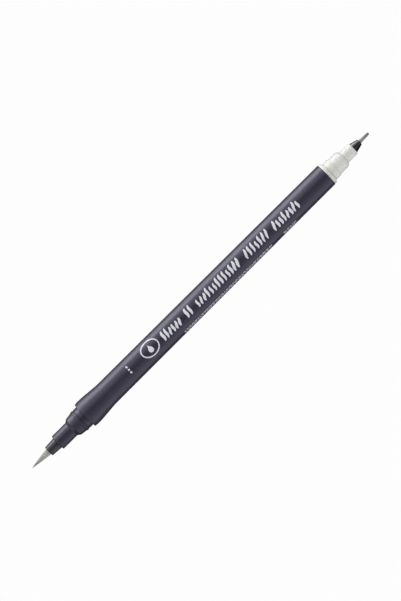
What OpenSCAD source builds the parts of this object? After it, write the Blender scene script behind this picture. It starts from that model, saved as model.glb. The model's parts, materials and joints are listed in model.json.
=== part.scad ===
// Twin-tip calligraphy marker, lying along X: a filament brush at -X and a fine nib at +X.
// Both caps are off. The marker lies on the plane z = 0, on the widest ring of its grip.

/* [Overall] */
// Length from the tip of the brush to the tip of the fine nib
overall_length = 163.4; // [155:0.2:180]

/* [Brush end] */
// Free length of the brush tuft
tuft_length = 8.25; // [7:0.05:10]
// Diameter of the tuft where it leaves the ferrule
tuft_d = 2.4; // [2.1:0.1:2.6]
// How full the tuft's sides are: 1 is a straight cone, more is rounder
tuft_fullness = 1.3; // [1:0.05:1.6]
// Visible length of the ferrule
ferrule_length = 4.25; // [3.5:0.05:6]
// Diameter of the ferrule at its mouth
ferrule_front_d = 3.84; // [3.7:0.02:3.9]
// Diameter of the ferrule where it meets the brush section
ferrule_rear_d = 4.37; // [4.2:0.01:4.6]
// Length of the cylinder on which the brush cap seats
brush_seat_length = 6.65; // [5:0.05:8]
// Diameter of the cylinder on which the brush cap seats
brush_seat_d = 5.91; // [5.7:0.01:6.3]
// Diameter of the brush section where it meets the barrel
brush_collar_d = 8.35; // [8.25:0.01:8.45]
// Length of the brush section from its shoulder's front edge to the barrel
brush_collar_length = 6.65; // [6:0.05:8]
// Diameter of the ring ridge that the brush cap clicks over
brush_ridge_d = 8.62; // [8.5:0.01:8.9]

/* [Barrel] */
// Largest diameter of the flared grip
grip_d = 10.4; // [10.2:0.05:11.5]
// Diameter of the barrel just behind the flare
barrel_brush_d = 9.18; // [9:0.02:9.8]
// Diameter of the barrel at the fine end
barrel_fine_d = 8.78; // [8.5:0.02:9]
// Inner diameter of the barrel
barrel_bore_d = 7; // [6.8:0.05:7.1]
// Length of the flare's curve, from its widest ring to the plain barrel
flare_length = 10.4; // [7:0.1:16]

/* [Fine end] */
// Length of the fine nib outside its cone
nib_length = 4.35; // [3:0.05:6]
// Diameter of the fine nib inside its cone
nib_d = 1.38; // [1.2:0.02:1.6]
// Diameter of the fine nib just before its round tip
nib_tip_d = 1; // [0.6:0.05:1.1]
// Visible length of the nib cone
cone_length = 3.2; // [3:0.1:5]
// Diameter of the nib cone at the rim of the fine section
cone_base_d = 3.95; // [3.8:0.01:4.1]
// Diameter of the nib cone at the nib
cone_tip_d = 2.36; // [2.1:0.02:2.8]
// Length of the cylinder on which the fine cap seats
fine_seat_length = 4.45; // [3:0.05:6]
// Diameter of the cylinder on which the fine cap seats
fine_seat_d = 4.8; // [4.7:0.01:5.2]
// Length of the fine section's body, from its flange to the front of its shoulder
fine_body_length = 7.3; // [6.5:0.1:10]
// Diameter of the fine section's band next to the flange
fine_band_d = 7.3; // [7.1:0.01:7.5]
// Diameter of the fine section's flange
flange_d = 8.55; // [8.2:0.01:8.7]

/* [Hidden] */

round_sides = 96;
axis_height = grip_d / 2;

// Places along X, from the brush tip to the fine tip
brush_tip_x = -overall_length / 2;
mouth_x = brush_tip_x + tuft_length;
brush_front_x = mouth_x + ferrule_length;
brush_shoulder_x = brush_front_x + brush_seat_length;
barrel_brush_x = brush_shoulder_x + brush_collar_length;
fine_tip_x = overall_length / 2;
cone_tip_x = fine_tip_x - nib_length;
fine_front_x = cone_tip_x - cone_length;
fine_shoulder_x = fine_front_x - fine_seat_length;
flange_length = 1.1;
flange_face_x = fine_shoulder_x - fine_body_length;
barrel_fine_x = flange_face_x - flange_length;

// Spigots that press into the barrel, and the reservoir held between their ends
spigot_length = 9;
bore_taper_length = 0.8;
brush_spigot_d = 7.6;
brush_spigot_bore_d = 6;
fine_spigot_bore_d = 5.2;
reservoir_brush_x = barrel_brush_x + spigot_length;
reservoir_fine_x = barrel_fine_x - spigot_length;
film_d = 6.4;
film_wall = 0.1;
reservoir_d = film_d - 2 * film_wall;
core_depth = 6;

// Tuft, its root and its ink feed
tuft_clearance = 0.05;
tuft_bore_d = tuft_d + 2 * tuft_clearance;
tuft_tip_r = 0.05;
mouth_chamfer = 0.3;
root_gap = 0.15;
root_front_x = mouth_x + tuft_d / 2 + root_gap;
root_head_depth = 4.5;
root_head_x = mouth_x + root_head_depth;
root_head_length = 1;
root_head_d = 3.1;
ferrule_spigot_d = 3.9;
ferrule_spigot_length = 6;
ferrule_spigot_x = brush_front_x + ferrule_spigot_length;
holder_bore_d = 4.4;
holder_clearance = 0.02;
holder_collar_d = holder_bore_d - 2 * holder_clearance;
holder_collar_length = 1;
relay_d = 1.8;
relay_point_d = 0.9;

// Fine nib holder
cone_spigot_d = 3.6;
cone_spigot_length = 7;
cone_spigot_x = fine_front_x - cone_spigot_length;
cone_seat_depth = 0.3;

// A solid of revolution about the marker's axis. Each point is [place along X, radius].
module turned(outline) {
    translate([0, 0, axis_height])
        rotate([0, 90, 0])
            rotate_extrude($fn = round_sides)
                polygon([for (p = outline) [p[1], p[0]]]);
}

// A lengthwise straight cut or rib: a bar of the given width between two radii, turned about the axis
module lengthwise_bar(x_from, x_to, r_from, r_to, width, turn) {
    translate([x_from, 0, axis_height])
        rotate([turn, 0, 0])
            translate([0, -width / 2, r_from])
                cube([x_to - x_from, width, r_to - r_from]);
}

// Points on an arc about [x, r]. Angle 0 points along +X and 90 points outwards.
function arc(x, r, radius, a_from, a_to, steps) =
    [for (i = [0 : steps]) let (a = a_from + (a_to - a_from) * i / steps)
        [x + radius * cos(a), r + radius * sin(a)]];

// Points of a smooth S-shaped change of radius between two places
function s_curve(x_from, r_from, x_to, r_to, steps) =
    [for (i = [0 : steps]) let (t = i / steps)
        [x_from + (x_to - x_from) * t, r_from + (r_to - r_from) * (1 - cos(180 * t)) / 2]];

// Barrel: a moulded tube with a flared grip, a narrow rim at the grip's front and four inner ribs
module barrel() {
    rim_round = 0.15;
    rim_r = 5.09;
    rim_length = 0.5;
    swell_length = 0.65;
    rim_end_x = barrel_brush_x + rim_length;
    widest_x = rim_end_x + swell_length;
    widest_length = 0.4;
    flare_end_x = widest_x + flare_length;
    end_round = 0.15;
    rib_width = 0.6;
    rib_r = film_d / 2;
    into_wall = 0.3;
    rib_lead = 2;
    color("#34303c") union() {
        turned(concat(
            arc(barrel_brush_x + rim_round, rim_r - rim_round, rim_round, 180, 90, 5),
            s_curve(rim_end_x, rim_r, widest_x, grip_d / 2, 6),
            s_curve(widest_x + widest_length, grip_d / 2, flare_end_x, barrel_brush_d / 2, 18),
            arc(barrel_fine_x - end_round, barrel_fine_d / 2 - end_round, end_round, 90, 0, 3),
            [[barrel_fine_x, barrel_bore_d / 2],
             [reservoir_brush_x, barrel_bore_d / 2],
             [reservoir_brush_x, brush_spigot_d / 2],
             [barrel_brush_x, brush_spigot_d / 2]]
        ));
        for (turn = [45 : 90 : 315])
            lengthwise_bar(reservoir_brush_x + rib_lead, reservoir_fine_x - rib_lead,
                           rib_r, barrel_bore_d / 2 + into_wall, rib_width, turn);
    }
}

// Brush section: the stepped collar pressed into the barrel, with the cap's seat, a ring ridge and a slit
module brush_section() {
    front_round = 0.3;
    shoulder_r = 3.74;
    shoulder_length = 1.1;
    cone_end_r = 4.1;
    shoulder_to_ridge = 4;
    ridge_x = brush_shoulder_x + shoulder_to_ridge;
    ridge_round = 0.38;
    ridge_centre_r = brush_ridge_d / 2 - ridge_round;
    ridge_to_slit = 0.75;
    slit_x = ridge_x + ridge_to_slit;
    slit_width = 0.16;
    slit_depth = 0.25;
    bore_beyond_spigot = 1;
    inner_step_x = barrel_brush_x - bore_beyond_spigot;
    color("#2c2933") turned(concat(
        arc(brush_front_x + front_round, brush_seat_d / 2 - front_round, front_round, 180, 90, 4),
        [[brush_shoulder_x, brush_seat_d / 2],
         [brush_shoulder_x + shoulder_length, shoulder_r]],
        arc(ridge_x, ridge_centre_r, ridge_round, 180 - asin((cone_end_r - ridge_centre_r) / ridge_round),
            asin((brush_collar_d / 2 - ridge_centre_r) / ridge_round), 9),
        [[slit_x, brush_collar_d / 2],
         [slit_x, brush_collar_d / 2 - slit_depth],
         [slit_x + slit_width, brush_collar_d / 2 - slit_depth],
         [slit_x + slit_width, brush_collar_d / 2],
         [barrel_brush_x, brush_collar_d / 2],
         [barrel_brush_x, brush_spigot_d / 2],
         [reservoir_brush_x, brush_spigot_d / 2],
         [reservoir_brush_x, brush_spigot_bore_d / 2],
         [inner_step_x, brush_spigot_bore_d / 2],
         [inner_step_x - bore_taper_length, holder_bore_d / 2],
         [ferrule_spigot_x, holder_bore_d / 2],
         [ferrule_spigot_x, ferrule_spigot_d / 2],
         [brush_front_x, ferrule_spigot_d / 2]]
    ));
}

// Ferrule: the glossy nose, pressed into the brush section, with the bore that the tuft comes out of
module brush_ferrule() {
    mouth_round = 0.15;
    color("#2a2630") turned(concat(
        [[mouth_x, tuft_bore_d / 2 + mouth_chamfer]],
        arc(mouth_x + mouth_round, ferrule_front_d / 2 - mouth_round, mouth_round, 180, 90, 4),
        [[brush_front_x, ferrule_rear_d / 2],
         [brush_front_x, ferrule_spigot_d / 2],
         [ferrule_spigot_x, ferrule_spigot_d / 2],
         [ferrule_spigot_x, root_head_d / 2],
         [root_head_x, root_head_d / 2],
         [root_head_x, tuft_bore_d / 2],
         [mouth_x + mouth_chamfer, tuft_bore_d / 2]]
    ));
}

// Free part of the tuft. It swings about the centre of the ferrule's mouth, where its base is a ball.
module brush_tuft() {
    steps = 16;
    point_length = 0.02;
    color("#a5a59b") turned(concat(
        [[brush_tip_x, 0],
         [brush_tip_x + point_length, tuft_tip_r]],
        [for (i = [1 : steps]) let (t = i / steps)
            [brush_tip_x + tuft_length * t,
             max(tuft_tip_r, tuft_d / 2 * (1 - pow(1 - t, tuft_fullness)))]],
        [for (p = arc(mouth_x, 0, tuft_d / 2, 80, 0, 8)) [p[0], max(0, p[1])]]
    ));
}

// Fused root of the tuft, with the head that the ferrule's inner step holds
module tuft_root() {
    color("#8f8f86") turned([
        [root_front_x, relay_point_d / 2],
        [root_front_x, tuft_bore_d / 2],
        [root_head_x, tuft_bore_d / 2],
        [root_head_x, root_head_d / 2],
        [root_head_x + root_head_length, root_head_d / 2],
        [root_head_x + root_head_length, relay_point_d / 2]
    ]);
}

// Sleeve behind the root. Its collar stops on the end of the ferrule, and three grooves let air back in.
module relay_core_holder() {
    groove_width = 0.4;
    groove_depth = 0.25;
    beyond = 0.5;
    front_x = root_head_x + root_head_length;
    rear_x = ferrule_spigot_x + holder_collar_length;
    color("#d8d8d2") difference() {
        turned([
            [front_x, relay_d / 2],
            [front_x, root_head_d / 2],
            [ferrule_spigot_x, root_head_d / 2],
            [ferrule_spigot_x, holder_collar_d / 2],
            [rear_x, holder_collar_d / 2],
            [rear_x, relay_d / 2]
        ]);
        for (turn = [0 : 120 : 240]) {
            lengthwise_bar(front_x - beyond, rear_x + beyond, root_head_d / 2 - groove_depth,
                           root_head_d / 2 + beyond, groove_width, turn);
            lengthwise_bar(ferrule_spigot_x, rear_x + beyond, root_head_d / 2,
                           holder_collar_d / 2 + beyond, groove_width, turn);
        }
    }
}

// Relay core: the fibre rod from the reservoir to the root, with a thin point right through the root
module brush_relay_core() {
    start_x = root_head_x + root_head_length;
    rear_x = reservoir_brush_x + core_depth;
    color("#bdbdb2") turned([
        [root_front_x, 0],
        [root_front_x, relay_point_d / 2],
        [start_x, relay_point_d / 2],
        [start_x, relay_d / 2],
        [rear_x, relay_d / 2],
        [rear_x, 0]
    ]);
}

// Reservoir: the ink-holding fibre rod, pierced by the relay core and by the fine nib
module ink_reservoir() {
    color("#5b5668") turned([
        [reservoir_brush_x, relay_d / 2],
        [reservoir_brush_x, reservoir_d / 2],
        [reservoir_fine_x, reservoir_d / 2],
        [reservoir_fine_x, nib_d / 2],
        [reservoir_fine_x - core_depth, nib_d / 2],
        [reservoir_fine_x - core_depth, 0],
        [reservoir_brush_x + core_depth, 0],
        [reservoir_brush_x + core_depth, relay_d / 2]
    ]);
}

// Film wrapped round the reservoir
module reservoir_film() {
    color("#e6e6ea") turned([
        [reservoir_brush_x, reservoir_d / 2],
        [reservoir_brush_x, film_d / 2],
        [reservoir_fine_x, film_d / 2],
        [reservoir_fine_x, reservoir_d / 2]
    ]);
}

// Fine section: the white stepped collar with its grooved flange, round shoulder and cap seat
module fine_section() {
    flange_groove = 0.08;
    edge = 0.06;
    neck_length = 0.3;
    neck_depth = 0.1;
    neck_r = fine_band_d / 2 - neck_depth;
    band_x = flange_face_x + neck_length;
    band_length = 2.25;
    band_end_x = band_x + band_length;
    body_r = 3.385;
    body_end_r = 3.32;
    shoulder_length = 1.8;
    shoulder_start_x = fine_shoulder_x - shoulder_length;
    shoulder_steps = 10;
    seat_r = fine_seat_d / 2;
    lip_round = 0.12;
    color("#dcded8") turned(concat(
        [[barrel_fine_x, barrel_bore_d / 2],
         [barrel_fine_x, flange_d / 2 - edge],
         [barrel_fine_x + edge, flange_d / 2],
         [barrel_fine_x + flange_length / 2 - flange_groove, flange_d / 2],
         [barrel_fine_x + flange_length / 2, flange_d / 2 - flange_groove],
         [barrel_fine_x + flange_length / 2 + flange_groove, flange_d / 2],
         [flange_face_x - edge, flange_d / 2],
         [flange_face_x, flange_d / 2 - edge],
         [flange_face_x, neck_r],
         [band_x, neck_r],
         [band_x + edge, fine_band_d / 2],
         [band_end_x - edge, fine_band_d / 2],
         [band_end_x, fine_band_d / 2 - edge],
         [band_end_x, body_r],
         [shoulder_start_x, body_end_r]],
        [for (i = [1 : shoulder_steps - 1]) let (a = 90 * i / shoulder_steps)
            [shoulder_start_x + shoulder_length * sin(a), seat_r + (body_end_r - seat_r) * cos(a)]],
        [[fine_shoulder_x, seat_r]],
        arc(fine_front_x - lip_round, seat_r - lip_round, lip_round, 90, 0, 3),
        [[fine_front_x, cone_base_d / 2],
         [fine_front_x - cone_seat_depth, cone_base_d / 2],
         [fine_front_x - cone_seat_depth, cone_spigot_d / 2],
         [cone_spigot_x, cone_spigot_d / 2],
         [cone_spigot_x - bore_taper_length, fine_spigot_bore_d / 2],
         [reservoir_fine_x, fine_spigot_bore_d / 2],
         [reservoir_fine_x, barrel_bore_d / 2]]
    ));
}

// Nib cone: the black holder set into the white rim, with the nib's bore through it
module fine_nib_cone() {
    tip_round = 0.2;
    base_x = fine_front_x - cone_seat_depth;
    color("#1a141c") turned(concat(
        [[cone_spigot_x, nib_d / 2],
         [cone_spigot_x, cone_spigot_d / 2],
         [base_x, cone_spigot_d / 2],
         [base_x, cone_base_d / 2],
         [fine_front_x, cone_base_d / 2]],
        arc(cone_tip_x - tip_round, cone_tip_d / 2 - tip_round, tip_round, 75, 0, 4),
        [[cone_tip_x, nib_d / 2]]
    ));
}

// Fine nib: the writing rod, with a slightly tapered free end and a round tip
module fine_nib() {
    dome_r = nib_tip_d / 2;
    color("#7d8079") turned(concat(
        [[reservoir_fine_x - core_depth, 0],
         [reservoir_fine_x - core_depth, nib_d / 2],
         [cone_tip_x, nib_d / 2]],
        arc(fine_tip_x - dome_r, 0, dome_r, 85, 0, 6)
    ));
}

barrel();
brush_section();
brush_ferrule();
brush_tuft();
tuft_root();
relay_core_holder();
brush_relay_core();
ink_reservoir();
reservoir_film();
fine_section();
fine_nib_cone();
fine_nib();
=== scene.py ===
"""Visual model of a twin-tip calligraphy marker with both caps off.

The marker lies along X, with its filament brush at -X and its fine nib at +X.
A length multiplied by MM is written in millimetres. One that isn't is in metres, unless the function's
docstring says otherwise.
"""
import json
import math
import random

import bmesh
import bpy
import numpy as np
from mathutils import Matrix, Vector


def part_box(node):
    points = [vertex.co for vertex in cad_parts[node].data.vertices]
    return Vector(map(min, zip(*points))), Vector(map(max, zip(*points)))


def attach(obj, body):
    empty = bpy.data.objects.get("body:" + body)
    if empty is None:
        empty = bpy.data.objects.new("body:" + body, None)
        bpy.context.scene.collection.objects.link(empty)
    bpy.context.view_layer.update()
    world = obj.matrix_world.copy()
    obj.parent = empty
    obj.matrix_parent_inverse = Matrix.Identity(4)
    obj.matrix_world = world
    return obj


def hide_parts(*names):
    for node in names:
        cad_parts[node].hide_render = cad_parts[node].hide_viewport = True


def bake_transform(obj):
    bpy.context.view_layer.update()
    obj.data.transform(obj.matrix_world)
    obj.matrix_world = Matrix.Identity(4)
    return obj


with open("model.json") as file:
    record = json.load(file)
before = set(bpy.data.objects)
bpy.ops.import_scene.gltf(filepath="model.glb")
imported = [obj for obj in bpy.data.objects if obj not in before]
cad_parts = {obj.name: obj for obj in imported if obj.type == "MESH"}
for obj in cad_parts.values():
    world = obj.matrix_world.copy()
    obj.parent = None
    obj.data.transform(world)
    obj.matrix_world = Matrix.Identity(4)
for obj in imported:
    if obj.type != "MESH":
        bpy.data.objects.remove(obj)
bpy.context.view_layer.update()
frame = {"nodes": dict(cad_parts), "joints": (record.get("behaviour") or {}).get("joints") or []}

MM = 0.001
MICRON = 0.000001
SAME_PLACE = 0.2 * MICRON
SEGMENTS = 128

# The centre of the ferrule's mouth. The tuft bends about it, and it lies on the marker's axis.
MOUTH = Vector(frame["joints"][0]["pos_m"])
AXIS_Z = MOUTH.z


# ---------------------------------------------------------------- outlines

def seam_outline(node):
    """A turned CAD node's outline as (x, radius) points in order.

    It is read from the seam of the node's mesh, which runs straight below the axis.
    """
    bm = bmesh.new()
    bm.from_mesh(frame["nodes"][node].data)
    bmesh.ops.remove_doubles(bm, verts=bm.verts, dist=SAME_PLACE)
    bm.verts.index_update()
    on_seam = {v.index: (v.co.x, AXIS_Z - v.co.z) for v in bm.verts
               if abs(v.co.y) < SAME_PLACE and v.co.z < AXIS_Z + SAME_PLACE}
    links = {index: [] for index in on_seam}
    for edge in bm.edges:
        first, second = edge.verts[0].index, edge.verts[1].index
        if first in on_seam and second in on_seam:
            links[first].append(second)
            links[second].append(first)
    bm.free()
    ends = [index for index in on_seam if len(links[index]) == 1]
    start = min(ends or on_seam, key=lambda index: on_seam[index])
    chain = [start]
    while True:
        onward = [index for index in links[chain[-1]] if index not in chain]
        if not onward:
            break
        chain.append(min(onward, key=lambda index: on_seam[index]) if len(chain) == 1 else onward[0])
    return [on_seam[index] for index in chain]


def without_straight_points(outline, closed):
    """The outline without the points that lie on a straight run between their neighbours."""
    straight_within = 0.3 * MICRON
    kept = []
    count = len(outline)
    for i, point in enumerate(outline):
        if not closed and i in (0, count - 1):
            kept.append(point)
            continue
        before = np.array(kept[-1] if kept else outline[i - 1])
        after = np.array(outline[(i + 1) % count])
        along = after - before
        off = np.array(point) - before
        distance = abs(along[0] * off[1] - along[1] * off[0]) / max(np.hypot(*along), SAME_PLACE)
        if distance > straight_within:
            kept.append(point)
    return kept


def rounded(outline, radius, closed=True):
    """The outline with each sharp corner turned into an arc.

    A support point on the straight run at either side of the arc keeps that run's shading even.
    """
    sharp_turn = math.radians(14)
    arc_step = math.radians(13)
    support = 0.05 * MM
    least_run = 0.01 * MM
    largest_share = 0.42
    points = [np.array(p) for p in without_straight_points(outline, closed)]
    count = len(points)
    made = []
    for i, corner in enumerate(points):
        if not closed and i in (0, count - 1):
            made.append(corner)
            continue
        to_before = points[i - 1] - corner
        to_after = points[(i + 1) % count] - corner
        room_before = np.hypot(*to_before)
        room_after = np.hypot(*to_after)
        to_before = to_before / room_before
        to_after = to_after / room_after
        turn = math.pi - math.acos(float(np.clip(to_before @ to_after, -1, 1)))
        if turn < sharp_turn:
            made.append(corner)
            continue
        cut = min(radius * math.tan(turn / 2), largest_share * room_before, largest_share * room_after)
        arc_start = corner + to_before * cut
        arc_end = corner + to_after * cut
        if room_before > 2 * (cut + support) + least_run:
            made.append(corner + to_before * (cut + support))
        steps = max(2, round(turn / arc_step))
        for step in range(steps + 1):
            t = step / steps
            weight = 2 * t * (1 - t) * math.cos(turn / 2)
            total = (1 - t) ** 2 + weight + t ** 2
            arc = arc_start * (1 - t) ** 2 + corner * weight + arc_end * t ** 2
            made.append(arc / total)
        if room_after > 2 * (cut + support) + least_run:
            made.append(corner + to_after * (cut + support))
    return [(float(x), max(0.0, float(r))) for x, r in made]


# ---------------------------------------------------------------- meshes

def even_turns(count):
    """Angles in equal steps round a full turn, from 0."""
    return [2 * math.pi * i / count for i in range(count)]


def object_from(bm, name, material):
    """A new smooth object from a finished bmesh, with one material."""
    sharp_from = math.radians(40)
    bmesh.ops.recalc_face_normals(bm, faces=bm.faces)
    mesh = bpy.data.meshes.new(name)
    bm.to_mesh(mesh)
    bm.free()
    mesh.polygons.foreach_set("use_smooth", [True] * len(mesh.polygons))
    mesh.set_sharp_from_angle(angle=sharp_from)
    mesh.materials.append(material)
    piece = bpy.data.objects.new(name, mesh)
    bpy.context.scene.collection.objects.link(piece)
    return piece


def bridge(bm, low, high):
    """Faces between two rings of vertices. A ring of one vertex is a pole."""
    count = max(len(low), len(high))
    for i in range(count):
        following = (i + 1) % count
        if len(low) == 1:
            bm.faces.new((low[0], high[i], high[following]))
        elif len(high) == 1:
            bm.faces.new((low[i], high[0], low[following]))
        else:
            bm.faces.new((low[i], high[i], high[following], low[following]))


def turned(rings, closed=True):
    """A bmesh turned about the marker's axis from (x, radius) rings.

    A radius is one number for the whole ring, or one for each segment.
    """
    turns = even_turns(SEGMENTS)
    bm = bmesh.new()
    loops = []
    for x, radius in rings:
        radii = np.broadcast_to(radius, SEGMENTS)
        if radii.max() < SAME_PLACE:
            loops.append([bm.verts.new((x, 0, AXIS_Z))])
            continue
        loops.append([bm.verts.new((x, r * math.sin(turn), AXIS_Z + r * math.cos(turn)))
                      for r, turn in zip(radii, turns)])
    for low, high in zip(loops, loops[1:] + (loops[:1] if closed else [])):
        bridge(bm, low, high)
    return bm


def turned_piece(name, node, corner_radius, material):
    """A finer turned piece that stands for a CAD node and rides on the pen."""
    bm = turned(rounded(seam_outline(node), corner_radius))
    piece = object_from(bm, name, material)
    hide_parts(node)
    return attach(piece, "pen")


# ---------------------------------------------------------------- materials

# Most of a noise texture's values lie between these two.
NOISE_LOW = 0.3
NOISE_HIGH = 0.7

BARREL_COLOUR = (0.029, 0.0255, 0.045)
COLLAR_COLOUR = (0.027, 0.0235, 0.040)
FERRULE_COLOUR = (0.033, 0.027, 0.040)
WHITE_COLOUR = (0.60, 0.605, 0.57)
CONE_COLOUR = (0.021, 0.013, 0.020)
PRINT_COLOUR = (0.62, 0.63, 0.68)
DARK_SHEEN = (0.88, 0.86, 1.0)
NO_TINT = (1, 1, 1)


def new_material(name):
    """A material with its node tree and its principled shader."""
    material = bpy.data.materials.new(name)
    material.use_nodes = True
    tree = material.node_tree
    shader = next(n for n in tree.nodes if n.type == "BSDF_PRINCIPLED")
    return material, tree, shader


def noise(tree, scale, detail, stretch=None):
    """A noise texture fixed to the piece, with its scale in features per metre.

    Stretch makes the features that many times longer along X, Y and Z.
    """
    coordinates = tree.nodes.new("ShaderNodeTexCoord")
    texture = tree.nodes.new("ShaderNodeTexNoise")
    texture.inputs["Scale"].default_value = scale
    texture.inputs["Detail"].default_value = detail
    source = coordinates.outputs["Object"]
    if stretch:
        mapping = tree.nodes.new("ShaderNodeMapping")
        mapping.inputs["Scale"].default_value = [1 / s for s in stretch]
        tree.links.new(source, mapping.inputs["Vector"])
        source = mapping.outputs["Vector"]
    tree.links.new(source, texture.inputs["Vector"])
    return texture.outputs["Fac"]


def ramp(tree, source, stops):
    """A colour ramp with (position, colour) stops."""
    node = tree.nodes.new("ShaderNodeValToRGB")
    elements = node.color_ramp.elements
    while len(elements) < len(stops):
        elements.new(position=0.5)
    for element, (position, colour) in zip(elements, stops):
        element.position = position
        element.color = (*colour, 1)
    tree.links.new(source, node.inputs["Fac"])
    return node.outputs["Color"]


def spread(tree, source, low, high):
    """A noise's middle range, mapped to the range from low to high."""
    node = tree.nodes.new("ShaderNodeMapRange")
    node.inputs["From Min"].default_value = NOISE_LOW
    node.inputs["From Max"].default_value = NOISE_HIGH
    node.inputs["To Min"].default_value = low
    node.inputs["To Max"].default_value = high
    tree.links.new(source, node.inputs["Value"])
    return node.outputs["Result"]


def bump(tree, height, depth, after=None):
    """A bump of the given depth in metres, on top of another one if given."""
    node = tree.nodes.new("ShaderNodeBump")
    node.inputs["Strength"].default_value = 1
    node.inputs["Distance"].default_value = depth
    tree.links.new(height, node.inputs["Height"])
    if after:
        tree.links.new(after, node.inputs["Normal"])
    return node.outputs["Normal"]


def tinted(colour, factor):
    """The colour made lighter or darker by a factor."""
    return tuple(min(1.0, c * factor) for c in colour)


def moulded_plastic(name, colour, roughness, grain=1.5, specular=0.5, sheen=NO_TINT):
    """Moulded plastic: faint flow mottling, a fine grain, and hairline drag marks along the axis.

    The grain's depth is in microns, and sheen tints what the surface reflects.
    """
    dark_tint = 0.93
    light_tint = 1.07
    roughness_swing = 0.03
    drag_depth = 1.2 * MICRON
    material, tree, shader = new_material(name)
    mottling = noise(tree, scale=260, detail=4, stretch=(3, 1, 1))
    colours = ramp(tree, mottling, [(NOISE_LOW, tinted(colour, dark_tint)),
                                    (NOISE_HIGH, tinted(colour, light_tint))])
    fine_grain = noise(tree, scale=7000, detail=2)
    grain_normal = bump(tree, fine_grain, grain * MICRON)
    drag_marks = noise(tree, scale=9000, detail=2, stretch=(60, 1, 1))
    normal = bump(tree, drag_marks, drag_depth, after=grain_normal)
    dull_spots = noise(tree, scale=700, detail=5, stretch=(2, 1, 1))
    dullness = spread(tree, dull_spots, roughness - roughness_swing, roughness + roughness_swing)
    tree.links.new(colours, shader.inputs["Base Color"])
    tree.links.new(dullness, shader.inputs["Roughness"])
    tree.links.new(normal, shader.inputs["Normal"])
    shader.inputs["Specular IOR Level"].default_value = specular
    shader.inputs["Specular Tint"].default_value = (*sheen, 1)
    return material


def fibre(name, light, dark, roughness, depth):
    """Bonded fibre: thin streaks along the axis, in colour and in relief. The depth is in microns."""
    dark_until = 0.32
    light_from = 0.66
    material, tree, shader = new_material(name)
    streaks = noise(tree, scale=14000, detail=3, stretch=(30, 1, 1))
    colours = ramp(tree, streaks, [(dark_until, dark), (light_from, light)])
    tree.links.new(colours, shader.inputs["Base Color"])
    tree.links.new(bump(tree, streaks, depth * MICRON), shader.inputs["Normal"])
    shader.inputs["Roughness"].default_value = roughness
    return material


def along_x(tree, x_from, x_to):
    """A value that rises from 0 to 1 between two places along the marker."""
    coordinates = tree.nodes.new("ShaderNodeTexCoord")
    parts = tree.nodes.new("ShaderNodeSeparateXYZ")
    node = tree.nodes.new("ShaderNodeMapRange")
    node.inputs["From Min"].default_value = x_from
    node.inputs["From Max"].default_value = x_to
    tree.links.new(coordinates.outputs["Object"], parts.inputs["Vector"])
    tree.links.new(parts.outputs["X"], node.inputs["Value"])
    return node.outputs["Result"]


def multiplied(tree, first, second):
    """The product of two colours."""
    node = tree.nodes.new("ShaderNodeMix")
    node.data_type = "RGBA"
    node.blend_type = "MULTIPLY"
    node.inputs["Factor"].default_value = 1
    tree.links.new(first, node.inputs["A"])
    tree.links.new(second, node.inputs["B"])
    return node.outputs["Result"]


def tuft_filament(tip_x, mouth_x):
    """Grey nylon filament: lighter at the ferrule and darker towards the point."""
    dark_grey = (0.29, 0.29, 0.262)
    light_grey = (0.47, 0.47, 0.43)
    point_tint = (0.45, 0.45, 0.47)
    tinted_until = 0.05
    plain_from = 0.75
    relief = 0.6 * MICRON
    material, tree, shader = new_material("filament_look")
    streaks = noise(tree, scale=5200, detail=2, stretch=(40, 1, 1))
    greys = ramp(tree, streaks, [(NOISE_LOW, dark_grey), (NOISE_HIGH, light_grey)])
    fade = ramp(tree, along_x(tree, tip_x, mouth_x), [(tinted_until, point_tint), (plain_from, NO_TINT)])
    tree.links.new(multiplied(tree, greys, fade), shader.inputs["Base Color"])
    fine_streaks = noise(tree, scale=22000, detail=2, stretch=(20, 1, 1))
    tree.links.new(bump(tree, fine_streaks, relief), shader.inputs["Normal"])
    shader.inputs["Roughness"].default_value = 0.38
    return material


def nib_fibre(cone_x, tip_x):
    """The fine nib: pressed grey fibre, darker at its writing end."""
    dark_grey = (0.175, 0.175, 0.16)
    light_grey = (0.275, 0.275, 0.25)
    tip_tint = (0.62, 0.60, 0.60)
    plain_until = 0.3
    tinted_from = 0.95
    relief = 3 * MICRON
    material, tree, shader = new_material("nib_fibre_look")
    streaks = noise(tree, scale=11000, detail=3, stretch=(25, 1, 1))
    greys = ramp(tree, streaks, [(NOISE_LOW, dark_grey), (NOISE_HIGH, light_grey)])
    fade = ramp(tree, along_x(tree, cone_x, tip_x), [(plain_until, NO_TINT), (tinted_from, tip_tint)])
    tree.links.new(multiplied(tree, greys, fade), shader.inputs["Base Color"])
    tree.links.new(bump(tree, streaks, relief), shader.inputs["Normal"])
    shader.inputs["Roughness"].default_value = 0.5
    return material


def print_ink():
    """Pad-printed pale ink: slightly uneven cover, with thin spots too small to see at arm's length."""
    thin_cover = (0.22, tinted(PRINT_COLOUR, 0.7))
    full_cover = (0.36, PRINT_COLOUR)
    thick_cover = (0.8, tinted(PRINT_COLOUR, 1.06))
    relief = 1 * MICRON
    material, tree, shader = new_material("pad_print_look")
    cover = noise(tree, scale=2600, detail=4)
    colours = ramp(tree, cover, [thin_cover, full_cover, thick_cover])
    tree.links.new(colours, shader.inputs["Base Color"])
    fine_grain = noise(tree, scale=9000, detail=2)
    tree.links.new(bump(tree, fine_grain, relief), shader.inputs["Normal"])
    shader.inputs["Roughness"].default_value = 0.45
    return material


# ---------------------------------------------------------------- turned pieces

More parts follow.
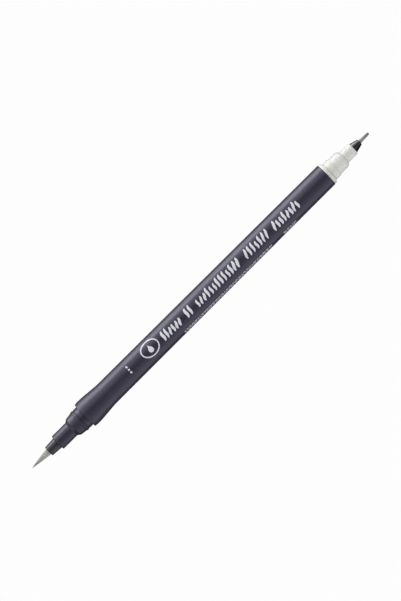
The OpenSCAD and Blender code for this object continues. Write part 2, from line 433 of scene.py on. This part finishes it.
def barrel_piece(material):
    """The barrel with its flared grip. Ribs inside the bore centre the reservoir."""
    corner_radius = 0.1 * MM
    rib_count = 4
    rib_lead = 2 * MM
    rib_draft = 0.1 * MM
    rib_half_segments = 2
    rings = rounded(seam_outline("barrel"), corner_radius)
    bore_r = min(r for x, r in rings)
    film_lo, film_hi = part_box("reservoir_film")
    rib_r = film_hi.y
    ribbed = np.full(SEGMENTS, bore_r)
    for rib in range(rib_count):
        middle = (2 * rib + 1) * SEGMENTS // (2 * rib_count)
        ribbed[middle - rib_half_segments:middle + rib_half_segments + 1] = rib_r
    on_bore = [i for i, (x, r) in enumerate(rings) if r - bore_r < SAME_PLACE]
    first, second = max(zip(on_bore, on_bore[1:]),
                        key=lambda pair: abs(rings[pair[0]][0] - rings[pair[1]][0]))
    toward_fine = rings[second][0] > rings[first][0]
    low_x = film_lo.x + rib_lead
    high_x = film_hi.x - rib_lead
    rib_rings = [(low_x, bore_r), (low_x + rib_draft, ribbed),
                 (high_x - rib_draft, ribbed), (high_x, bore_r)]
    rings[first + 1:first + 1] = rib_rings if toward_fine else rib_rings[::-1]
    piece = object_from(turned(rings), "barrel_shell", material)
    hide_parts("barrel")
    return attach(piece, "pen")


def nib_piece(material):
    """The fine nib, a rod with a round tip. Its inner end is flat."""
    corner_radius = 0.08 * MM
    outline = seam_outline("fine_nib")
    rear_x = min(x for x, r in outline)
    points = [(rear_x, 0.0)] + [p for p in outline if p != (rear_x, 0.0)]
    bm = turned(rounded(points, corner_radius, closed=False), closed=False)
    piece = object_from(bm, "fine_nib_rod", material)
    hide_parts("fine_nib")
    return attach(piece, "pen")


# ---------------------------------------------------------------- tuft

def add_strand(bm, centres, radii, sides):
    """A closed tapering tube round the given centres."""
    turns = even_turns(sides)
    loops = []
    for centre, radius in zip(centres, radii):
        loops.append([bm.verts.new(centre + Vector((0, math.sin(turn), math.cos(turn))) * radius)
                      for turn in turns])
    for low, high in zip(loops, loops[1:]):
        bridge(bm, low, high)
    start_pole = bm.verts.new(centres[0])
    end_pole = bm.verts.new(centres[-1])
    bridge(bm, [start_pole], loops[0])
    bridge(bm, loops[-1], [end_pole])


def tuft_piece(material):
    """The tuft: tapering filaments that leave the bore side by side and close into one point.
    """
    count = 360
    sides = 6
    rings = 13
    hidden = 1 * MM
    # How full the tuft is between its base and its point, and how the filaments fill its cross-section.
    fullness = 1.3
    packing = 0.94
    pressed_out = 1.07
    golden_turn = math.pi * (3 - math.sqrt(5))
    # How far short of the point a filament may stop, as a share of the length, and how rare that is.
    stop_scatter = 0.24
    stop_power = 2.2
    # How much a filament sways round the axis and away from it, and how fast along its length.
    sideways_sway = 0.05
    sideways_rate = 5
    outward_sway = 0.02
    outward_rate = 3
    # How a filament thins towards the tuft's point, and in the last stretch before its own end.
    thinnest_share = 0.12
    taper_end = 1.02
    taper_share = 0.12
    least_r = 4 * MICRON
    lo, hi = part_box("brush_tuft")
    tip_x = lo.x
    length = MOUTH.x - tip_x
    base_r = hi.y
    filament_r = packing * base_r / math.sqrt(count)
    draw = random.Random(5)
    bm = bmesh.new()
    for i in range(count):
        out = min(1.0, pressed_out * math.sqrt((i + 0.5) / count)) * (1 - filament_r / base_r)
        turn = i * golden_turn
        stop = 1 - stop_scatter * draw.random() ** stop_power
        wander = draw.uniform(-1, 1)
        phase = draw.uniform(0, 2 * math.pi)
        centres = []
        radii = []
        for ring in range(rings):
            t = ring / (rings - 1)
            x = MOUTH.x + hidden - (hidden + length * stop) * t
            left = min(1.0, max(0.0, (x - tip_x) / length))
            swell = 1 - (1 - left) ** fullness
            swing = turn + sideways_sway * wander * math.sin(phase + sideways_rate * t)
            reach = base_r * swell * out * (1 + outward_sway * math.sin(phase + outward_rate * t))
            centres.append(Vector((x, reach * math.sin(swing), AXIS_Z + reach * math.cos(swing))))
            taper = math.sqrt(min(1.0, (taper_end - t) / taper_share))
            thickness = thinnest_share + (1 - thinnest_share) * swell
            radii.append(max(least_r, filament_r * thickness * taper))
        add_strand(bm, centres, radii, sides)
    piece = object_from(bm, "tuft_filaments", material)
    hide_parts("brush_tuft")
    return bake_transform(piece)


# ---------------------------------------------------------------- print

INK_PROUD = 0.012 * MM
INK_BURIED = 0.03 * MM


def barrel_radius(outline, x):
    """The barrel's outer radius at x. The outline is the upper run, sorted along X."""
    return float(np.interp(x, [p[0] for p in outline], [p[1] for p in outline]))


def on_barrel(outline, x, around, lift):
    """A point on the barrel, or lifted off it.

    Around is the arc length from the barrel's top line towards -Y.
    """
    radius = barrel_radius(outline, x)
    turn = around / radius
    reach = radius + lift
    return (x, -reach * math.sin(turn), AXIS_Z + reach * math.cos(turn))


def add_ribbon(bm, outline, path, widths, closed=False):
    """A closed ink film along a path of (x, around) points, with a width at each."""
    across = 5
    path = [np.array(p, float) for p in path]
    count = len(path)
    top = []
    bottom = []
    for i, (point, width) in enumerate(zip(path, widths)):
        before = path[i - 1] if closed or i else path[i]
        after = path[(i + 1) % count] if closed or i < count - 1 else path[i]
        along = (after - before) / np.hypot(*(after - before))
        side = np.array((-along[1], along[0]))
        places = [point + side * width * (j / (across - 1) - 0.5) for j in range(across)]
        top.append([bm.verts.new(on_barrel(outline, x, a, INK_PROUD)) for x, a in places])
        bottom.append([bm.verts.new(on_barrel(outline, x, a, -INK_BURIED)) for x, a in places])
    spans = list(zip(range(count), range(1, count)))
    if closed:
        spans.append((count - 1, 0))
    for i, k in spans:
        for j in range(across - 1):
            bm.faces.new((top[i][j], top[i][j + 1], top[k][j + 1], top[k][j]))
            bm.faces.new((bottom[i][j], bottom[k][j], bottom[k][j + 1], bottom[i][j + 1]))
        for j in (0, across - 1):
            bm.faces.new((top[i][j], top[k][j], bottom[k][j], bottom[i][j]))
    if not closed:
        for i in (0, count - 1):
            for j in range(across - 1):
                bm.faces.new((top[i][j], bottom[i][j], bottom[i][j + 1], top[i][j + 1]))


def add_stroke(bm, outline, x, low, high, lean, bend, width):
    """One brush stroke across the barrel: pressed in the middle, thin at both ends, leaning along X."""
    steps = 18
    thin = 0.07 * MM
    bluntness = 0.55
    path = []
    widths = []
    for i in range(steps + 1):
        t = i / steps
        path.append((x + lean * (t - 0.5) + bend * math.sin(2 * math.pi * t), low + (high - low) * t))
        widths.append(thin + (width - thin) * math.sin(math.pi * t) ** bluntness)
    add_ribbon(bm, outline, path, widths)


def add_diamond(bm, outline, x, around, size):
    """A small diamond, as a square pen held at an angle leaves it."""
    steps = 6
    slant = 0.3
    breadth = 0.9
    least_width = 0.03 * MM
    path = []
    widths = []
    for i in range(steps + 1):
        t = i / steps
        path.append((x + size * slant * (t - 0.5), around + size * (t - 0.5)))
        widths.append(max(least_width, size * breadth * (1 - abs(2 * t - 1))))
    add_ribbon(bm, outline, path, widths)


def print_pieces(material):
    """The print on the barrel: brush strokes, a ringed drop, diamonds and fine dashes, with no lettering."""
    # Only the barrel's outer surface lies beyond this radius. Its places are rounded to a tenth of a micron.
    outside_r = 4.2 * MM
    decimals = 7
    outline = sorted({(round(x, decimals), r) for x, r in seam_outline("barrel") if r > outside_r})
    prints = {"print_strokes": stroke_rows, "print_emblem": emblem,
              "print_marks": diamond_marks, "print_fine_dashes": fine_dashes}
    for name, draw_print in prints.items():
        bm = bmesh.new()
        draw_print(bm, outline)
        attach(object_from(bm, name, material), "pen")


def stroke_rows(bm, outline):
    """Groups of leaning strokes of two heights along the top of the barrel.

    The groups' ends and the strokes' pitch, bends and widths are in millimetres.
    """
    groups = [(-18.3, -9.3), (-7.2, -3.9), (-2.0, 19.0), (21.5, 33.0), (35.2, 47.6)]
    pitch = 1.62
    foot = 1.5 * MM
    tall = -2.25 * MM
    short = -1.4 * MM
    heads = (tall, short, short, tall, short)
    bends = (-0.16, 0.16, 0.2)
    slant = 0.24
    thinnest = 0.86
    thickest = 1.06
    draw = random.Random(11)
    for start, end in groups:
        count = max(2, round((end - start) / pitch))
        step = (end - start) / count
        for i in range(count):
            x = (start + step * (i + 0.5)) * MM
            head = heads[draw.randrange(len(heads))]
            height = foot - head
            bend = draw.choice(bends) * MM
            width = draw.uniform(thinnest, thickest) * MM
            add_stroke(bm, outline, x, foot, head, slant * height, bend, width)


def diamond_marks(bm, outline):
    """Three diamonds side by side near the grip."""
    count = 3
    marks_x = -34 * MM
    first = -1.7 * MM
    pitch = 1.2 * MM
    size = 0.95 * MM
    for i in range(count):
        add_diamond(bm, outline, marks_x, first + pitch * i, size)


def emblem(bm, outline):
    """An oval ring round one plain ink drop. Its sizes are in millimetres."""
    centre_x = -23.7
    centre = -0.67
    half_length = 3.55
    half_width = 2.85
    line_width = 0.42
    ring_steps = 72
    ring = [((centre_x + half_length * math.cos(turn)) * MM, (centre + half_width * math.sin(turn)) * MM)
            for turn in even_turns(ring_steps)]
    add_ribbon(bm, outline, ring, [line_width * MM] * ring_steps, closed=True)
    drop_steps = 24
    drop_length = 3.4
    drop_width = 1.9
    least_width = 0.04
    path = []
    widths = []
    for i in range(drop_steps + 1):
        t = i / drop_steps
        path.append((centre_x * MM, (centre + drop_length * (0.5 - t)) * MM))
        widths.append(max(least_width, drop_width * drop_outline(t)) * MM)
    add_ribbon(bm, outline, path, widths)


def drop_outline(t):
    """The width of a drop from its round foot, at 0, to its point, at 1. Its widest place is 1 across."""
    belly = 0.3
    sharpness = 1.15
    if t < belly:
        return math.sqrt(max(0.0, 1 - ((belly - t) / belly) ** 2))
    return ((1 + math.cos(math.pi * (t - belly) / (1 - belly))) / 2) ** sharpness


def fine_dashes(bm, outline):
    """Two rows of hairline dashes low on the side of the barrel. Places and lengths are in millimetres."""
    stretches = ((-11.3, 31.1), (36.7, 42.6))
    rows = (4.45, 5.35)
    thickness = 0.3 * MM
    shortest = 0.45
    longest = 1.5
    gap = 0.32
    least_room = 0.4
    step_length = 0.3
    draw = random.Random(3)
    for start, end in stretches:
        for around in rows:
            x = start
            while x < end - least_room:
                length = min(draw.uniform(shortest, longest), end - x)
                steps = max(2, round(length / step_length))
                path = [((x + length * i / steps) * MM, around * MM) for i in range(steps + 1)]
                add_ribbon(bm, outline, path, [thickness] * (steps + 1))
                x += length + gap


# ---------------------------------------------------------------- stage

def white_emitter(name, strength):
    """A plain pale surface that looks evenly lit and takes no shadow."""
    material = bpy.data.materials.new(name)
    material.use_nodes = True
    tree = material.node_tree
    tree.nodes.clear()
    output = tree.nodes.new("ShaderNodeOutputMaterial")
    emission = tree.nodes.new("ShaderNodeEmission")
    emission.inputs["Color"].default_value = (1, 1, 1, 1)
    emission.inputs["Strength"].default_value = strength
    tree.links.new(emission.outputs["Emission"], output.inputs["Surface"])
    material.cycles.emission_sampling = "NONE"
    return material


def backdrop():
    """A pale floor that curves up into a dome, as a studio's sweep does. Only the camera sees it."""
    radius = 3.5
    floor_drop = 0.5 * MM
    floor_rings = (0.1, 0.35, 0.7)
    dome_rings = 24
    segments = 64
    brightness = 0.985
    bm = bmesh.new()
    loops = [[bm.verts.new((0, 0, -floor_drop))]]
    floor = [(radius * share, 0) for share in floor_rings]
    rises = [math.pi / 2 * i / dome_rings for i in range(dome_rings)]
    dome = [(radius * math.cos(rise), radius * math.sin(rise)) for rise in rises]
    for r, z in floor + dome:
        loops.append([bm.verts.new((r * math.cos(turn), r * math.sin(turn), z - floor_drop))
                      for turn in even_turns(segments)])
    loops.append([bm.verts.new((0, 0, radius - floor_drop))])
    for low, high in zip(loops, loops[1:]):
        bridge(bm, low, high)
    mesh = bpy.data.meshes.new("studio_sweep")
    bm.to_mesh(mesh)
    bm.free()
    mesh.materials.append(white_emitter("studio_sweep_look", brightness))
    sweep = bpy.data.objects.new("studio_sweep", mesh)
    bpy.context.scene.collection.objects.link(sweep)
    sweep.visible_diffuse = False
    sweep.visible_glossy = False
    sweep.visible_transmission = False
    sweep.visible_shadow = False


def softbox(name, size_x, size_y, radiance):
    """A rectangular soft light, as bright at any size. It starts level, shining down."""
    data = bpy.data.lights.new(name, "AREA")
    data.shape = "RECTANGLE"
    data.size = size_x
    data.size_y = size_y
    data.energy = radiance * math.pi * size_x * size_y
    light = bpy.data.objects.new(name, data)
    bpy.context.scene.collection.objects.link(light)
    light.visible_camera = False
    return light


def side_softbox(name, lean, spread_degrees, radiance, distance=0.6, length=1.6,
                 lights_diffuse=True, lights_gloss=True):
    """A softbox beside the marker, which can be made to light only its gloss or only its body colour.

    Its lean is the angle from straight above towards +Y, in degrees.
    """
    across = 2 * distance * math.tan(math.radians(spread_degrees / 2))
    light = softbox(name, length, across, radiance)
    angle = math.radians(lean)
    light.location = (0, distance * math.sin(angle), AXIS_Z + distance * math.cos(angle))
    light.rotation_euler = (-angle, 0, 0)
    light.visible_diffuse = lights_diffuse
    light.visible_glossy = lights_gloss


def end_softbox(name, lean, spread_degrees, radiance):
    """A softbox off one end of the marker.

    Its lean is the angle from straight above towards +X, in degrees.
    """
    distance = 1
    length = 1
    across = 2 * distance * math.tan(math.radians(spread_degrees / 2))
    light = softbox(name, across, length, radiance)
    angle = math.radians(lean)
    light.location = (distance * math.sin(angle), 0, AXIS_Z + distance * math.cos(angle))
    light.rotation_euler = (0, angle, 0)


def studio():
    """Soft light: a strong box low on the +Y side, weaker ones above it, on the -Y side and off both ends.

    key_gleam shows only in gloss, and fill_wash lights only body colour, so neither is a real lamp.
    The room's own light isn't seen in gloss.
    """
    world = bpy.data.worlds.new("pale_room")
    # The scene has its world before anything is set on it, because Blender looks it up there.
    bpy.context.scene.world = world
    world.use_nodes = True
    background = next(n for n in world.node_tree.nodes if n.type == "BACKGROUND")
    background.inputs["Color"].default_value = (1, 1, 1, 1)
    background.inputs["Strength"].default_value = 0.26
    world.cycles_visibility.glossy = False
    side_softbox("key_softbox", lean=94, spread_degrees=49, radiance=2.35)
    side_softbox("key_gleam", lean=82, spread_degrees=28, radiance=3.8, distance=0.5, length=0.8,
                 lights_diffuse=False)
    side_softbox("high_softbox", lean=46, spread_degrees=46, radiance=1.15)
    side_softbox("fill_softbox", lean=-80, spread_degrees=52, radiance=1.05, length=0.6)
    side_softbox("fill_wash", lean=-75, spread_degrees=50, radiance=1, lights_gloss=False)
    side_softbox("low_fill_softbox", lean=-37, spread_degrees=30, radiance=0.45)
    end_softbox("brush_end_softbox", lean=-57, spread_degrees=40, radiance=1.2)
    end_softbox("fine_end_softbox", lean=68, spread_degrees=22, radiance=1)
    bpy.context.scene.view_settings.view_transform = "Standard"


def camera():
    """Looks straight down, turned so that the marker rises to the right."""
    rise = math.radians(44.9)
    lens_mm = 200
    sensor_mm = 36
    frame_height = 206.6 * MM
    shift_right = -0.1 * MM
    shift_up = -0.07 * MM
    data = bpy.data.cameras.new("camera")
    data.lens = lens_mm
    data.sensor_width = sensor_mm
    data.clip_start = 0.05
    data.clip_end = 10
    view = bpy.data.objects.new("camera", data)
    bpy.context.scene.collection.objects.link(view)
    distance = frame_height * lens_mm / sensor_mm
    right = Vector((math.cos(rise), -math.sin(rise), 0))
    up = Vector((math.sin(rise), math.cos(rise), 0))
    view.location = Vector((0, 0, AXIS_Z + distance)) - right * shift_right - up * shift_up
    view.rotation_euler = (0, 0, -rise)
    bpy.context.scene.camera = view


# ---------------------------------------------------------------- the model

def repaint(node, material):
    """Gives a CAD node that stays its procedural material. Its mesh is left as packed."""
    frame["nodes"][node].material_slots[0].material = material


barrel_plastic = moulded_plastic("barrel_plastic_look", BARREL_COLOUR, roughness=0.36, sheen=DARK_SHEEN)
collar_plastic = moulded_plastic("collar_plastic_look", COLLAR_COLOUR, roughness=0.36, sheen=DARK_SHEEN)
ferrule_plastic = moulded_plastic("ferrule_plastic_look", FERRULE_COLOUR, roughness=0.24, grain=0.6,
                                  specular=0.43)
natural_plastic = moulded_plastic("natural_plastic_look", WHITE_COLOUR, roughness=0.42)
cone_plastic = moulded_plastic("cone_plastic_look", CONE_COLOUR, roughness=0.14, grain=0.4, specular=1)

cone_front_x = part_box("fine_nib_cone")[1].x
nib_tip_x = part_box("fine_nib")[1].x
tuft_tip_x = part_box("brush_tuft")[0].x

barrel_piece(barrel_plastic)
turned_piece("brush_collar", "brush_section", 0.09 * MM, collar_plastic)
turned_piece("brush_nose", "brush_ferrule", 0.1 * MM, ferrule_plastic)
turned_piece("fine_collar", "fine_section", 0.09 * MM, natural_plastic)
turned_piece("nib_cone_shell", "fine_nib_cone", 0.08 * MM, cone_plastic)
nib_piece(nib_fibre(cone_front_x, nib_tip_x))
tuft_piece(tuft_filament(tuft_tip_x, MOUTH.x))
print_pieces(print_ink())

repaint("tuft_root", fibre("fused_filament_look", light=(0.34, 0.34, 0.31), dark=(0.16, 0.16, 0.15),
                           roughness=0.35, depth=2))
repaint("relay_core_holder", moulded_plastic("holder_plastic_look", (0.62, 0.62, 0.59), roughness=0.4))
repaint("brush_relay_core", fibre("relay_fibre_look", light=(0.62, 0.62, 0.58), dark=(0.42, 0.42, 0.39),
                                  roughness=0.8, depth=5))
repaint("ink_reservoir", fibre("reservoir_fibre_look", light=(0.16, 0.15, 0.20), dark=(0.07, 0.065, 0.09),
                               roughness=0.75, depth=5))
repaint("reservoir_film", moulded_plastic("wrap_film_look", (0.78, 0.78, 0.80), roughness=0.18, grain=0.3))

backdrop()
studio()
camera()
